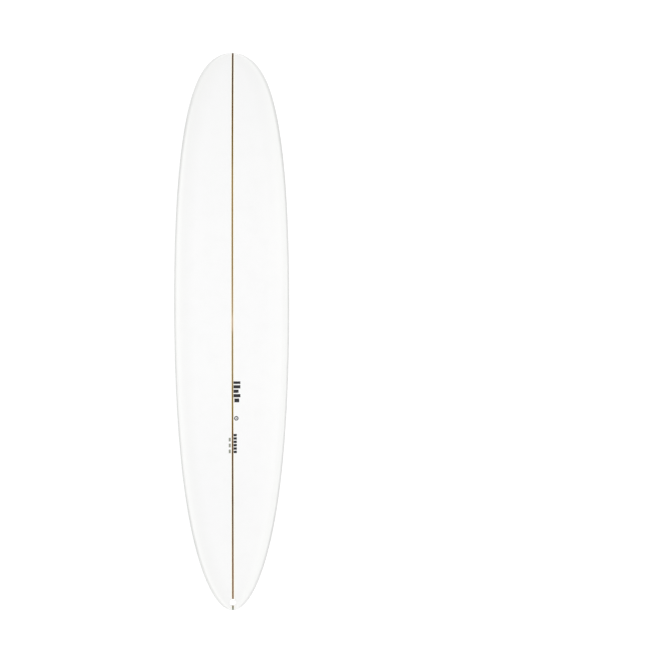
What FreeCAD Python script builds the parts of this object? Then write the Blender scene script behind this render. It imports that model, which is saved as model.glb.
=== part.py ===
import FreeCAD, Part
import math
import os

# Longboard surfboard, 9 ft 0 in, single stringer, long centre fin box and two side fin boxes.
# Frame: deck up (+Z), nose towards +Y, board width along X. The origin is under the middle of
# the board's length, on the level of the lowest point of the bottom. Millimetres.

V = FreeCAD.Vector
PL = FreeCAD.Placement
ROT = FreeCAD.Rotation

os.makedirs("parts", exist_ok=True)
doc = FreeCAD.newDocument("longboard")

# ------------------------------------------------------------------ driving dimensions
DIMS = [
    ("board_length", 2743.2), ("board_width", 571.5), ("board_thick", 71.0),
    ("nose_rocker", 115.0), ("tail_rocker", 65.0), ("flat_station", 1388.0),
    ("rocker_power_nose", 2.7), ("rocker_power_tail", 2.25),
    ("edge_round_tail", 11.0), ("edge_round_nose", 12.0),
    ("cap_inset_tail", 0.25), ("cap_inset_nose", 0.25),
    ("deck_crown", 0.15),
    # centre thickness at stations from the tail, as a part of board_thick
    ("foil_tailtip", 0.325), ("foil_tailthree", 0.415), ("foil_tailfoot", 0.63),
    ("foil_tailtwo", 0.835), ("foil_aft", 0.955), ("foil_mid", 1.0), ("foil_fore", 0.975),
    ("foil_nosetwo", 0.86), ("foil_nosefoot", 0.64), ("foil_nosetip", 0.33),
    # outline: half width = width/2 * sqrt(4t(1-t)) * polynomial in (1-2t), t = 0 at the nose
    ("outline_a", 0.99693), ("outline_b", 0.06002), ("outline_c", 0.19552),
    ("outline_d", 0.14808), ("outline_e", 0.02564), ("outline_f", -0.14318),
    ("outline_g", -0.0854), ("outline_i", 0.21994), ("outline_j", 0.15726),
    ("skin_thick", 1.4), ("print_depth", 0.4), ("stringer_width", 7.94),
    # centre fin box
    ("cbox_station", 296.5), ("cbox_length", 273.0), ("cbox_width", 25.4), ("cbox_depth", 25.0),
    ("cslot_length", 254.0), ("cslot_width", 7.9), ("cslot_depth", 19.0), ("clip_depth", 3.6),
    ("cchannel_width", 12.7), ("cchannel_height", 5.0), ("cchannel_length", 258.8),
    ("cnotch_length", 20.0), ("cnotch_width", 6.9), ("box_proud", 4.0),
    # fin plate and screw
    ("plate_side", 12.2), ("plate_thick", 3.2), ("plate_hole_radius", 2.05), ("plate_centre", 118.2),
    ("fscrew_radius", 2.0), ("fscrew_length", 14.0), ("fhead_radius", 3.6), ("fhead_height", 2.6),
    ("fdrive_width", 1.1), ("fdrive_length", 5.0), ("fdrive_depth", 1.5),
    # side fin boxes
    ("sbox_station", 494.0), ("sbox_offset", 181.5), ("sbox_length", 136.0), ("sbox_width", 26.0),
    ("sbox_depth", 18.0), ("sslot_length", 112.0), ("sslot_width", 6.7), ("sslot_depth", 14.5),
    ("sbox_toe", 3.0), ("sscrew_radius", 2.95), ("shole_radius", 3.0), ("sscrew_length", 9.0),
    ("sscrew_tilt", 25.0), ("shex_radius", 1.55), ("shex_depth", 3.5),
    # leash plug
    ("leash_station", 41.5), ("cup_radius", 16.5), ("cup_depth", 17.0), ("cup_bore_radius", 12.5),
    ("cup_bore_depth", 13.5), ("bar_radius", 2.0), ("bar_length", 30.0), ("bar_below", 5.5),
    # prints
    ("label_station", 691.5), ("label_length", 121.0), ("label_width", 125.0),
]
sheet = doc.addObject("Spreadsheet::Sheet", "dims")
for row, (alias, value) in enumerate(DIMS, start=1):
    sheet.set("A%d" % row, alias)
    sheet.set("B%d" % row, str(value))
    sheet.setAlias("B%d" % row, alias)
doc.recompute()


def dim(alias):
    return float(sheet.get(alias))


# ------------------------------------------------------------------ the hull's form
L = dim("board_length")
HALF_W = dim("board_width") / 2
OUTLINE = [dim("outline_" + c) for c in "abcdefgij"]
THICK = dim("board_thick")
FOIL = [(0, "foil_tailtip"), (76, "foil_tailthree"), (305, "foil_tailfoot"), (610, "foil_tailtwo"),
        (960, "foil_aft"), (1350, "foil_mid"), (1750, "foil_fore"), (2140, "foil_nosetwo"),
        (2438, "foil_nosefoot"), (L, "foil_nosetip")]


def natural_spline(xs, ys):
    n = len(xs)
    a, b, c, r = [0.0] * n, [1.0] * n, [0.0] * n, [0.0] * n
    for i in range(1, n - 1):
        a[i] = xs[i] - xs[i - 1]
        b[i] = 2 * (xs[i + 1] - xs[i - 1])
        c[i] = xs[i + 1] - xs[i]
        r[i] = 6 * ((ys[i + 1] - ys[i]) / c[i] - (ys[i] - ys[i - 1]) / a[i])
    for i in range(1, n):
        m = a[i] / b[i - 1]
        b[i] -= m * c[i - 1]
        r[i] -= m * r[i - 1]
    k = [0.0] * n
    k[-1] = r[-1] / b[-1]
    for i in range(n - 2, -1, -1):
        k[i] = (r[i] - c[i] * k[i + 1]) / b[i]

    def value(x):
        i = 0
        while i < n - 2 and x > xs[i + 1]:
            i += 1
        w = xs[i + 1] - xs[i]
        p, q = (xs[i + 1] - x) / w, (x - xs[i]) / w
        return p * ys[i] + q * ys[i + 1] + ((p ** 3 - p) * k[i] + (q ** 3 - q) * k[i + 1]) * w * w / 6
    return value


centre_thick = natural_spline([q for q, _ in FOIL], [dim(n) * THICK for _, n in FOIL])
apex_part = natural_spline([0, 500, 1300, 2100, L], [0.38, 0.40, 0.45, 0.48, 0.50])
deck_power = natural_spline([0, 500, 1300, 2100, L], [2.3, 2.7, 2.9, 2.8, 2.3])
bottom_power = natural_spline([0, 500, 1300, 2100, L], [3.0, 4.2, 3.6, 3.0, 2.4])


def half_width(q):
    """Half width at a station q, measured from the tail tip."""
    t = 1 - q / L
    x = 1 - 2 * t
    return HALF_W * math.sqrt(max(4 * t * (1 - t), 0)) * sum(c * x ** i for i, c in enumerate(OUTLINE))


def rocker(q):
    f = dim("flat_station")
    if q < f:
        return dim("tail_rocker") * ((f - q) / f) ** dim("rocker_power_tail")
    return dim("nose_rocker") * ((q - f) / (L - f)) ** dim("rocker_power_nose")


def tip_round(q):
    g = 1.0
    for d, r in ((q, dim("edge_round_tail")), (L - q, dim("edge_round_nose"))):
        if d < r:
            g *= math.sqrt(max(1 - (1 - d / r) ** 2, 0))
    return g


def hull_point(q, phi, side):
    """A point of the skin: phi 0 is the right rail's apex, pi the left rail's."""
    thick, part = centre_thick(q), apex_part(q)
    power = deck_power(q) if side > 0 else bottom_power(q)
    c, sn = math.cos(phi), math.sin(phi)
    r = (abs(c) ** power + abs(sn) ** power) ** (-1 / power)
    u, rise = r * c, r * sn
    if side > 0:
        crown = dim("deck_crown")
        rise = (1 - crown) * rise + crown * (1 - u * u)
        height = (1 - part) * thick
    else:
        height = part * thick
    z = rocker(q) + part * thick + side * height * rise * tip_round(q)
    return V(half_width(q) * u, q - L / 2, z)


STATIONS, ACROSS = 66, 24
TAU0 = math.acos(1 - 2 * dim("cap_inset_tail") / L)
TAU1 = math.acos(1 - 2 * (L - dim("cap_inset_nose")) / L)


def station(i):
    return L / 2 * (1 - math.cos(TAU0 + (TAU1 - TAU0) * i / STATIONS))


def skin_point(i, j, side, inset):
    q = station(i)
    phi = math.pi * j / ACROSS
    p = hull_point(q, phi, side)
    if inset == 0:
        return p
    e = 1e-3
    lo, hi = max(phi - e, 0), min(phi + e, math.pi)
    across = hull_point(q, hi, side) - hull_point(q, lo, side)
    dq = min(0.05, q / 4, (L - q) / 4)
    along = hull_point(q + dq, phi, side) - hull_point(q - dq, phi, side)
    if j in (0, ACROSS):
        across = V(0, 0, side if j == 0 else -side)
    normal = across.cross(along)
    normal.normalize()
    if normal.z * side < 0 or (j in (0, ACROSS) and normal.x * p.x < 0):
        normal = normal * -1
    p = p - normal * inset
    if i == 0:
        p.y = q - L / 2 + inset
    if i == STATIONS:
        p.y = q - L / 2 - inset
    return p


def skin_surface(side, inset):
    """Cubic spline surface through the points, on even parameters, so that the deck's and the
    bottom's surfaces share their edge curves exactly."""
    us = [float(j) for j in range(ACROSS + 1)]
    vs = [float(i) for i in range(STATIONS + 1)]
    rows = []
    for i in range(STATIONS + 1):
        c = Part.BSplineCurve()
        c.interpolate(Points=[skin_point(i, j, side, inset) for j in range(ACROSS + 1)], Parameters=us)
        rows.append(c.getPoles())
    uk, um = c.getKnots(), c.getMultiplicities()
    cols = []
    for j in range(len(rows[0])):
        c = Part.BSplineCurve()
        c.interpolate(Points=[r[j] for r in rows], Parameters=vs)
        cols.append(c.getPoles())
    vk, vm = c.getKnots(), c.getMultiplicities()
    surf = Part.BSplineSurface()
    surf.buildFromPolesMultsKnots(cols, um, vm, uk, vk, False, False, 3, 3)
    return surf


def make_solid(faces, name):
    shell = Part.makeShell(faces)
    shell.sewShape()
    solid = Part.makeSolid(shell)
    if solid.Volume < 0:
        solid.reverse()
    if not solid.isValid():
        raise RuntimeError(name + " is not a valid solid")
    return solid


def iso(surf, u=None, v=None):
    return (surf.uIso(u) if u is not None else surf.vIso(v)).toShape()


def hull_solid(inset):
    top, bot = skin_surface(1, inset), skin_surface(-1, inset)
    faces = [top.toShape(), bot.toShape()]
    for v in (0, STATIONS):
        faces.append(Part.Face(Part.Wire([iso(top, v=v), iso(bot, v=v)])))
    return make_solid(faces, "hull")


def skin_solid(side, inset):
    """One half of the skin, from the outer form to the given inset, parted at the rails' apex."""
    out, inn = skin_surface(side, 0), skin_surface(side, inset)
    faces = [out.toShape(), inn.toShape()]
    for u in (0, ACROSS):
        faces.append(Part.makeRuledSurface(iso(out, u=u), iso(inn, u=u)))
    for v in (0, STATIONS):
        chords = []
        for s in (out, inn):
            a, b = s.value(0, v), s.value(ACROSS, v)
            chord = Part.LineSegment(a, b).toShape()
            faces.append(Part.Face(Part.Wire([iso(s, v=v), chord])))
            chords.append(chord)
        faces.append(Part.makeRuledSurface(chords[0], chords[1]))
    return make_solid(faces, "skin")


def feature(name, shape):
    o = doc.addObject("Part::Feature", name)
    o.Shape = shape
    o.Placement = PL()
    return o


hull_outer = feature("hull_outer", hull_solid(0))
hull_core = feature("hull_core", hull_solid(dim("skin_thick")))
hull_print = feature("hull_print", hull_solid(dim("print_depth")))
deck_skin = feature("deck_skin", skin_solid(1, dim("skin_thick")))
bottom_skin = feature("bottom_skin", skin_solid(-1, dim("skin_thick")))


def bottom_height(q, x=0.0):
    w = half_width(q)
    u = min(abs(x) / w, 0.999)
    part, thick = apex_part(q), centre_thick(q)
    rise = (1 - u ** bottom_power(q)) ** (1 / bottom_power(q))
    return rocker(q) + part * thick - part * thick * rise * tip_round(q)


def deck_height(q, x=0.0):
    w = half_width(q)
    u = min(abs(x) / w, 0.999)
    part, thick = apex_part(q), centre_thick(q)
    rise = 0.85 * (1 - u ** deck_power(q)) ** (1 / deck_power(q)) + 0.15 * (1 - u * u)
    return rocker(q) + part * thick + (1 - part) * thick * rise * tip_round(q)


# ------------------------------------------------------------------ helpers for the small parts
def body(name):
    return doc.addObject("PartDesign::Body", name)


def plane(b, role):
    return next(f for f in b.Origin.OriginFeatures if f.Role == role)


def sketch_on(b, name, role, offset=None):
    s = b.newObject("Sketcher::SketchObject", name)
    s.AttachmentSupport = [(plane(b, role), "")]
    s.MapMode = "FlatFace"
    if offset is not None:
        s.AttachmentOffset = PL(offset, ROT())
    return s


def racetrack(s, length_expr, width_expr, length, width):
    """A round-ended slot outline centred on the sketch's origin, long side along its Y."""
    import Sketcher
    r, a = width / 2, length / 2 - width / 2
    g = s.addGeometry([
        Part.ArcOfCircle(Part.Circle(V(0, a, 0), V(0, 0, 1), r), 0, math.pi),
        Part.LineSegment(V(-r, a, 0), V(-r, -a, 0)),
        Part.ArcOfCircle(Part.Circle(V(0, -a, 0), V(0, 0, 1), r), math.pi, 2 * math.pi),
        Part.LineSegment(V(r, -a, 0), V(r, a, 0))], False)
    s.addConstraint(Sketcher.Constraint("Tangent", g[0], 2, g[1], 1))
    s.addConstraint(Sketcher.Constraint("Tangent", g[1], 2, g[2], 1))
    s.addConstraint(Sketcher.Constraint("Tangent", g[2], 2, g[3], 1))
    s.addConstraint(Sketcher.Constraint("Tangent", g[3], 2, g[0], 1))
    s.addConstraint(Sketcher.Constraint("Vertical", g[1]))
    s.addConstraint(Sketcher.Constraint("Symmetric", g[0], 3, g[2], 3, -1, 1))
    k = s.addConstraint(Sketcher.Constraint("DistanceY", g[2], 3, g[0], 3, 2 * a))
    s.renameConstraint(k, "centres")
    s.setExpression("Constraints.centres", "%s - %s" % (length_expr, width_expr))
    k = s.addConstraint(Sketcher.Constraint("Radius", g[0], r))
    s.renameConstraint(k, "endradius")
    s.setExpression("Constraints.endradius", "%s / 2" % width_expr)


def rectangle(s, x0, x1, y0, y1, exprs):
    """A rectangle whose four sides are driven by expressions (left, right, low, high)."""
    import Sketcher
    p = [V(x0, y0, 0), V(x1, y0, 0), V(x1, y1, 0), V(x0, y1, 0)]
    g = s.addGeometry([Part.LineSegment(p[i], p[(i + 1) % 4]) for i in range(4)], False)
    for i in range(4):
        s.addConstraint(Sketcher.Constraint("Coincident", g[i], 2, g[(i + 1) % 4], 1))
    for i, kind in enumerate(("Horizontal", "Vertical", "Horizontal", "Vertical")):
        s.addConstraint(Sketcher.Constraint(kind, g[i]))
    for name, kind, edge, point, value, expr in (
            ("left", "DistanceX", 0, 1, x0, exprs[0]), ("right", "DistanceX", 0, 2, x1, exprs[1]),
            ("low", "DistanceY", 0, 1, y0, exprs[2]), ("high", "DistanceY", 1, 2, y1, exprs[3])):
        k = s.addConstraint(Sketcher.Constraint(kind, -1, 1, g[edge], point, value))
        s.renameConstraint(k, name)
        s.setExpression("Constraints." + name, expr)


def circle(s, radius_expr, radius):
    import Sketcher
    g = s.addGeometry(Part.Circle(V(0, 0, 0), V(0, 0, 1), radius), False)
    s.addConstraint(Sketcher.Constraint("Coincident", g, 3, -1, 1))
    k = s.addConstraint(Sketcher.Constraint("Radius", g, radius))
    s.renameConstraint(k, "radius")
    s.setExpression("Constraints.radius", radius_expr)


def pad(b, s, name, length_expr):
    f = b.newObject("PartDesign::Pad", name)
    f.Profile = s
    f.setExpression("Length", length_expr)
    b.Tip = f
    return f


def pocket(b, s, name, length_expr):
    """A pocket that runs along the sketch's own normal (towards local +Z)."""
    f = b.newObject("PartDesign::Pocket", name)
    f.Profile = s
    f.Reversed = True
    f.setExpression("Length", length_expr)
    b.Tip = f
    return f


def common(name, base, tool):
    o = doc.addObject("Part::Common", name)
    o.Base, o.Tool = base, tool
    return o


def cut(name, base, tool):
    o = doc.addObject("Part::Cut", name)
    o.Base, o.Tool = base, tool
    return o


def fuse(name, items):
    o = doc.addObject("Part::MultiFuse", name)
    o.Shapes = items
    return o


def cylinder(name, radius_expr, height_expr):
    o = doc.addObject("Part::Cylinder", name)
    o.setExpression("Radius", radius_expr)
    o.setExpression("Height", height_expr)
    return o


PROUD = dim("box_proud")

# Local frame of each fin box: origin on the bottom's surface at the middle of the slot, +Z into
# the board, +Y towards the nose along the bottom's own slope.
qc = dim("cbox_station")
slope_c = math.degrees(math.atan((bottom_height(qc + 60) - bottom_height(qc - 60)) / 120))
frame_c = PL(V(0, qc - L / 2, bottom_height(qc)), ROT(V(1, 0, 0), slope_c))
qs = dim("sbox_station")
xs = dim("sbox_offset")
slope_s = math.degrees(math.atan((bottom_height(qs + 40, xs) - bottom_height(qs - 40, xs)) / 80))
frame_side = {}
for tag, sg in (("right", 1), ("left", -1)):
    turn = ROT(V(0, 0, 1), sg * dim("sbox_toe")).multiply(ROT(V(1, 0, 0), slope_s))
    frame_side[tag] = PL(V(sg * xs, qs - L / 2, bottom_height(qs, xs)), turn)

# ------------------------------------------------------------------ centre fin box
cb = body("centre_box_body")
s = sketch_on(cb, "cbox_outline", "XY_Plane", V(0, 0, -PROUD))
racetrack(s, "dims.cbox_length", "dims.cbox_width", dim("cbox_length"), dim("cbox_width"))
pad(cb, s, "cbox_pad", "dims.cbox_depth + dims.box_proud")
s = sketch_on(cb, "cslot_outline", "XY_Plane", V(0, 0, -PROUD))
racetrack(s, "dims.cslot_length", "dims.cslot_width", dim("cslot_length"), dim("cslot_width"))
pocket(cb, s, "cslot_pocket", "dims.cslot_depth + dims.box_proud")
s = sketch_on(cb, "cchannel_outline", "XY_Plane", V(0, 0, dim("clip_depth")))
s.setExpression("AttachmentOffset.Base.z", "dims.clip_depth")
racetrack(s, "dims.cchannel_length", "dims.cchannel_width", dim("cchannel_length"), dim("cchannel_width"))
pocket(cb, s, "cchannel_pocket", "dims.cchannel_height")
s = sketch_on(cb, "cnotch_outline", "XY_Plane", V(0, 0, -PROUD))
rectangle(s, 0, dim("cnotch_width"), -dim("cnotch_length") / 2, dim("cnotch_length") / 2,
          ["0", "dims.cnotch_width", "-dims.cnotch_length / 2", "dims.cnotch_length / 2"])
pocket(cb, s, "cnotch_pocket", "dims.clip_depth + dims.box_proud + 1")
cb.Placement = frame_c
centre_box = common("centre_fin_box_trim", cb, hull_outer)
centre_box.Label = "centre_fin_box"

ce = body("centre_box_space")
s = sketch_on(ce, "cspace_outline", "XY_Plane", V(0, 0, -PROUD))
racetrack(s, "dims.cbox_length", "dims.cbox_width", dim("cbox_length"), dim("cbox_width"))
pad(ce, s, "cspace_pad", "dims.cbox_depth + dims.box_proud")
ce.Placement = frame_c

# ------------------------------------------------------------------ fin plate and its screw
plate_z = dim("clip_depth") + (dim("cchannel_height") - dim("plate_thick")) / 2
pb = body("fin_plate_body")
s = sketch_on(pb, "plate_outline", "XY_Plane")
h = dim("plate_side") / 2
rectangle(s, -h, h, -h, h, ["-dims.plate_side / 2", "dims.plate_side / 2"] * 2)
pad(pb, s, "plate_pad", "dims.plate_thick")
s = sketch_on(pb, "plate_hole", "XY_Plane")
circle(s, "dims.plate_hole_radius", dim("plate_hole_radius"))
pocket(pb, s, "plate_bore", "dims.plate_thick + 1")
pb.Label = "fin_plate"
pb.Placement = frame_c.multiply(PL(V(0, dim("plate_centre"), plate_z), ROT()))

shank = cylinder("fscrew_shank", "dims.fscrew_radius", "dims.fscrew_length")
head = cylinder("fscrew_head", "dims.fhead_radius", "dims.fhead_height")
head.setExpression("Placement.Base.z", "-dims.fhead_height")
fs_solid = fuse("fscrew_blank", [shank, head])
drives = []
for k in (0, 1):
    bx = doc.addObject("Part::Box", "fscrew_drive%d" % k)
    a, b = ("fdrive_width", "fdrive_length") if k else ("fdrive_length", "fdrive_width")
    bx.setExpression("Length", "dims." + a)
    bx.setExpression("Width", "dims." + b)
    bx.setExpression("Height", "dims.fdrive_depth + 1")
    bx.setExpression("Placement.Base.x", "-dims.%s / 2" % a)
    bx.setExpression("Placement.Base.y", "-dims.%s / 2" % b)
    bx.setExpression("Placement.Base.z", "-dims.fhead_height - 1")
    drives.append(bx)
fscrew = cut("fin_screw_cut", fs_solid, fuse("fscrew_cross", drives))
fscrew.Label = "fin_screw"
# the head sits inside the slot's mouth, a little below the bottom's surface
fscrew.Placement = frame_c.multiply(PL(V(0, dim("plate_centre"), dim("clip_depth") + 0.3), ROT()))

# ------------------------------------------------------------------ side fin boxes and their lock screws
side_spaces, side_parts = [], []
hole_y = dim("sslot_length") / 2 + 3.0
for tag, sg in (("right", 1), ("left", -1)):
    sb = body("side_box_body_" + tag)
    s = sketch_on(sb, "sbox_outline_" + tag, "XY_Plane", V(0, 0, -PROUD))
    racetrack(s, "dims.sbox_length", "dims.sbox_width", dim("sbox_length"), dim("sbox_width"))
    pad(sb, s, "sbox_pad_" + tag, "dims.sbox_depth + dims.box_proud")
    s = sketch_on(sb, "sslot_outline_" + tag, "XY_Plane", V(0, 0, -PROUD))
    racetrack(s, "dims.sslot_length", "dims.sslot_width", dim("sslot_length"), dim("sslot_width"))
    pocket(sb, s, "sslot_pocket_" + tag, "dims.sslot_depth + dims.box_proud")
    sb.Placement = frame_side[tag]
    # the lock screw's hole leans back, so that the screw's point bears on a fin's tab
    lean = PL(V(0, hole_y, 0), ROT(V(1, 0, 0), dim("sscrew_tilt")))
    bore = cylinder("sbox_bore_" + tag, "dims.shole_radius", "dims.sbox_depth + dims.box_proud - 4")
    bore.Placement = frame_side[tag].multiply(lean).multiply(PL(V(0, 0, -PROUD - 2), ROT()))
    bored = cut("side_box_bored_" + tag, sb, bore)
    box = common("side_fin_box_trim_" + tag, bored, hull_outer)
    box.Label = "side_fin_box_" + tag
    sp = body("side_box_space_" + tag)
    s = sketch_on(sp, "sspace_outline_" + tag, "XY_Plane", V(0, 0, -PROUD))
    racetrack(s, "dims.sbox_length", "dims.sbox_width", dim("sbox_length"), dim("sbox_width"))
    pad(sp, s, "sspace_pad_" + tag, "dims.sbox_depth + dims.box_proud")
    sp.Placement = frame_side[tag]
    side_spaces.append(sp)
    # grub screw with a hex socket
    shaft = cylinder("sscrew_shaft_" + tag, "dims.sscrew_radius", "dims.sscrew_length")
    hexa = doc.addObject("Part::Prism", "sscrew_hex_" + tag)
    hexa.Polygon = 6
    hexa.setExpression("Circumradius", "dims.shex_radius")
    hexa.setExpression("Height", "dims.shex_depth + 1")
    hexa.setExpression("Placement.Base.z", "-1")
    scr = cut("side_screw_cut_" + tag, shaft, hexa)
    scr.Label = "side_fin_screw_" + tag
    scr.Placement = frame_side[tag].multiply(lean).multiply(PL(V(0, 0, 1.2), ROT()))
    side_parts += [box, scr]

# ------------------------------------------------------------------ leash plug
ql = dim("leash_station")
slope_l = math.degrees(math.atan((deck_height(ql + 14) - deck_height(ql - 14)) / 28))
# local frame on the deck's surface, +Z down into the board
frame_l = PL(V(0, ql - L / 2, deck_height(ql)), ROT(V(1, 0, 0), slope_l).multiply(ROT(V(0, 1, 0), 180)))
lb = body("leash_cup_body")
s = sketch_on(lb, "cup_outline", "XY_Plane", V(0, 0, -PROUD))
circle(s, "dims.cup_radius", dim("cup_radius"))
pad(lb, s, "cup_pad", "dims.cup_depth + dims.box_proud")
s = sketch_on(lb, "cup_bore_outline", "XY_Plane", V(0, 0, -PROUD))
circle(s, "dims.cup_bore_radius", dim("cup_bore_radius"))
pocket(lb, s, "cup_bore", "dims.cup_bore_depth + dims.box_proud")
lb.Placement = frame_l
bar = cylinder("leash_bar_rod", "dims.bar_radius", "dims.bar_length")
bar.Label = "leash_bar"
bar.Placement = frame_l.multiply(PL(V(-dim("bar_length") / 2, 0, dim("bar_below")), ROT(V(0, 1, 0), 90)))
cup_holed = cut("leash_cup_holed", lb, bar)
cup = common("leash_cup_trim", cup_holed, hull_outer)
cup.Label = "leash_cup"
cs = body("leash_cup_space")
s = sketch_on(cs, "cup_space_outline", "XY_Plane", V(0, 0, -PROUD))
circle(s, "dims.cup_radius", dim("cup_radius"))
pad(cs, s, "cup_space_pad", "dims.cup_depth + dims.box_proud")
cs.Placement = frame_l

# ------------------------------------------------------------------ prints, let into the skins
def print_block(name, x0, x1, q0, q1, z0, z1):
    o = doc.addObject("Part::Box", name)
    o.Length, o.Width, o.Height = x1 - x0, q1 - q0, z1 - z0
    o.Placement = PL(V(x0, q0 - L / 2, z0), ROT())
    return o


lq, ll, lw = dim("label_station"), dim("label_length"), dim("label_width")
block = print_block("label_block", -lw / 2, lw / 2, lq - ll / 2, lq + ll / 2, -20, 40)
block.setExpression("Length", "dims.label_width")
block.setExpression("Width", "dims.label_length")
label = cut("bottom_label_cut", common("label_skin", block, hull_outer), hull_print)
label.Label = "bottom_label"

# deck marks: a stack of five bars, a small square and a row of six dashes right of the stringer, three dashes left of it
MARKS = [("bar_1", 5.0, 39.0, 1118, 1131), ("bar_2", 5.0, 39.0, 1096, 1112), ("bar_3", 5.0, 30.0, 1074, 1090),
         ("bar_4", 5.0, 39.0, 1052, 1068), ("bar_5", 9.0, 33.0, 1027, 1046), ("square", 7.5, 29.5, 937, 959)]
MARKS += [("dash_%d" % k, 5.0, 21.0, 776 + 16.6 * k, 788 + 16.6 * k) for k in range(6)]
MARKS += [("small_%d" % k, -19.0, -9.0, 776 + 29 * k, 794 + 29 * k) for k in range(3)]
blocks = [print_block(n, x0, x1, q0, q1, 50, 120) for n, x0, x1, q0, q1 in MARKS]
marks = cut("deck_print_cut", common("marks_skin", fuse("marks_block", blocks), hull_outer), hull_print)
marks.Label = "deck_print"

# ------------------------------------------------------------------ foam, stringer and skins
sw = dim("stringer_width") / 2
slabs = {}
for name, x0, x1 in (("left", -400, -sw), ("mid", -sw, sw), ("right", sw, 400)):
    o = doc.addObject("Part::Box", "slab_" + name)
    o.Length, o.Width, o.Height = x1 - x0, L + 200, 400
    o.Placement = PL(V(x0, -L / 2 - 100, -100), ROT())
    slabs[name] = o
slabs["mid"].setExpression("Length", "dims.stringer_width")
slabs["mid"].setExpression("Placement.Base.x", "-dims.stringer_width / 2")
slabs["right"].setExpression("Placement.Base.x", "dims.stringer_width / 2")

spaces_left = fuse("spaces_left", [ce, side_spaces[1], cs])
spaces_right = fuse("spaces_right", [ce, side_spaces[0], cs])
spaces_mid = fuse("spaces_mid", [ce, cs])
spaces_bottom = fuse("spaces_bottom", [ce] + side_spaces + [label])
foam_left = cut("foam_left_cut", common("foam_left_blank", hull_core, slabs["left"]), spaces_left)
foam_left.Label = "foam_blank_left"
foam_right = cut("foam_right_cut", common("foam_right_blank", hull_core, slabs["right"]), spaces_right)
foam_right.Label = "foam_blank_right"
stringer = cut("stringer_cut", common("stringer_blank", hull_core, slabs["mid"]), spaces_mid)
stringer.Label = "stringer"
deck_laminate = cut("deck_skin_cut", deck_skin, fuse("spaces_deck", [cs, marks]))
deck_laminate.Label = "deck_laminate"
bottom_laminate = cut("bottom_skin_cut", bottom_skin, spaces_bottom)
bottom_laminate.Label = "bottom_laminate"

doc.recompute()

# ------------------------------------------------------------------ checks and export
bad = [o.Name for o in doc.Objects if "Invalid" in o.State or "Error" in o.State]
if bad:
    raise RuntimeError("objects that failed: %s" % bad)
PARTS = [foam_left, foam_right, stringer, deck_laminate, bottom_laminate, centre_box] + side_parts + \
    [pb, fscrew, cup, bar, label, marks]
for o in PARTS:
    if o.Shape.isNull() or not o.Shape.isValid() or not o.Shape.Solids:
        raise RuntimeError("%s has no valid solid" % o.Label)
for o in PARTS:
    o.Shape.exportStep("parts/%s.step" % o.Label)
    print("%-22s solids %d  volume %10.1f cm3" % (o.Label, len(o.Shape.Solids), o.Shape.Volume / 1000))
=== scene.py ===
import math

import bmesh
import bpy
from mathutils import Matrix, Vector


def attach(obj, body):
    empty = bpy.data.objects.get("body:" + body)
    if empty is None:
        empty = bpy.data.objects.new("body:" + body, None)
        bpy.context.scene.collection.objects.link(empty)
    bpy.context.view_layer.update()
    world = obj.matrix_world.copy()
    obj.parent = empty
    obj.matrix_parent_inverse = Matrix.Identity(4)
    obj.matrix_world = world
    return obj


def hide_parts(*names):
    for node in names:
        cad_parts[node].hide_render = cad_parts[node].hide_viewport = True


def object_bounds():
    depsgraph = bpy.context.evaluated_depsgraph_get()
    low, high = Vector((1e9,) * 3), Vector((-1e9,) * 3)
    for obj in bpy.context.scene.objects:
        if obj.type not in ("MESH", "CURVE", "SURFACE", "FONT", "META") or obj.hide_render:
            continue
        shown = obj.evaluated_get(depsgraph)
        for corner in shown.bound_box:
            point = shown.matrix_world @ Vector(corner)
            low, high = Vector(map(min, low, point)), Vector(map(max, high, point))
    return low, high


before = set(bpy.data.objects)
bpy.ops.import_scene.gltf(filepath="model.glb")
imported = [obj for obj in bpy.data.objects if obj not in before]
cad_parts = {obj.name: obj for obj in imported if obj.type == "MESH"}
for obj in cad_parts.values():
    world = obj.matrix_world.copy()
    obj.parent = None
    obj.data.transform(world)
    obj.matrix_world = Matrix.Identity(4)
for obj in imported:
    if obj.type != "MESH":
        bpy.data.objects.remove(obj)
CAD_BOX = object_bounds()

# ---------------------------------------------------------------------------
# The hull's form, the same functions as the CAD's, in millimetres.
# q is the distance from the tail tip, phi runs 0 (right rail) to pi (left rail).
# ---------------------------------------------------------------------------
LENGTH, HALF_W, THICK = 2743.2, 571.5 / 2, 71.0
NOSE_ROCKER, TAIL_ROCKER, FLAT = 115.0, 65.0, 1388.0
P_NOSE, P_TAIL, R_TAIL, R_NOSE, CROWN = 2.7, 2.25, 11.0, 12.0, 0.15
OUTLINE = [0.99693, 0.06002, 0.19552, 0.14808, 0.02564, -0.14318, -0.0854, 0.21994, 0.15726]
FOIL = [(0, .325), (76, .415), (305, .63), (610, .835), (960, .955), (1350, 1.0), (1750, .975),
        (2140, .86), (2438, .64), (LENGTH, .33)]
SKIN = 1.4
HALF_STRINGER = 7.94 / 2


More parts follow.
